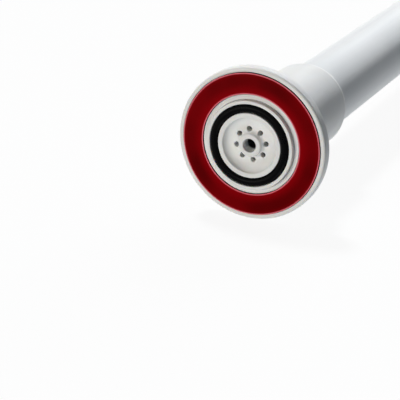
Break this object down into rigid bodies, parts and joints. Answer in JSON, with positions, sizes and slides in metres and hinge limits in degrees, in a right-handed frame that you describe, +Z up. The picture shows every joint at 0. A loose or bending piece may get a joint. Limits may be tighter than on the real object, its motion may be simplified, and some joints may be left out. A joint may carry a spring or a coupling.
{
  "type": "extendable shower curtain rod",
  "caption": "White telescopic shower curtain rod with round stick-on wall flanges, glue-in end sockets and a twist lock between its tubes.",
  "frame": {"origin": "centre of the wall face of the glue plate at end A", "axes": "+X along the rod from wall A to wall B, +Z up, +Y level"},
  "size_m": [0.801, 0.051, 0.051],
  "materials": {
    "coated_tube": "smooth white coating",
    "white_plastic": "satin white moulding",
    "black_rubber": "soft sheen",
    "dark_foam": "matte foam edge",
    "red_film": "glossy film",
    "nylon": "natural nylon"
  },
  "bodies": {
    "outer_rod": {"outer_tube": "coated_tube", "mouth_ring": "white_plastic", "socket_sleeve_a": "white_plastic", "seal_ring_a": "black_rubber"},
    "wall_flange_a": {"flange_a": "white_plastic", "adhesive_ring_a": "dark_foam", "release_liner_a": "red_film"},
    "glide": {"glide_ring": "nylon"},
    "inner_rod": {"inner_tube": "coated_tube", "lock_plug": "nylon", "reducing_bush": "white_plastic", "socket_sleeve_b": "white_plastic", "seal_ring_b": "black_rubber"},
    "cam": {"lock_cam": "nylon"},
    "wall_flange_b": {"flange_b": "white_plastic", "adhesive_ring_b": "dark_foam", "release_liner_b": "red_film"}
  },
  "joints": [
    {"name": "flange_a_slide", "type": "slide", "parent": "outer_rod", "child": "wall_flange_a", "axis": [1, 0, 0], "range_m": [-0.0012, 0.03]},
    {"name": "telescope_slide", "type": "slide", "parent": "outer_rod", "child": "glide", "axis": [1, 0, 0], "range_m": [-0.1, 0.35]},
    {"name": "twist_lock", "type": "hinge", "parent": "glide", "child": "inner_rod", "pos_m": [0.193, 0, 0], "axis": [1, 0, 0], "range_deg": [-60, 60]},
    {"name": "cam_turn", "type": "hinge", "parent": "inner_rod", "child": "cam", "pos_m": [0.17255, 0, 0.00025], "axis": [1, 0, 0], "range_deg": [-60, 60]},
    {"name": "flange_b_slide", "type": "slide", "parent": "inner_rod", "child": "wall_flange_b", "axis": [-1, 0, 0], "range_m": [-0.0012, 0.03]}
  ],
  "couplings": [
    {"joint": "cam_turn", "follows": "twist_lock", "ratio": -1}
  ]
}
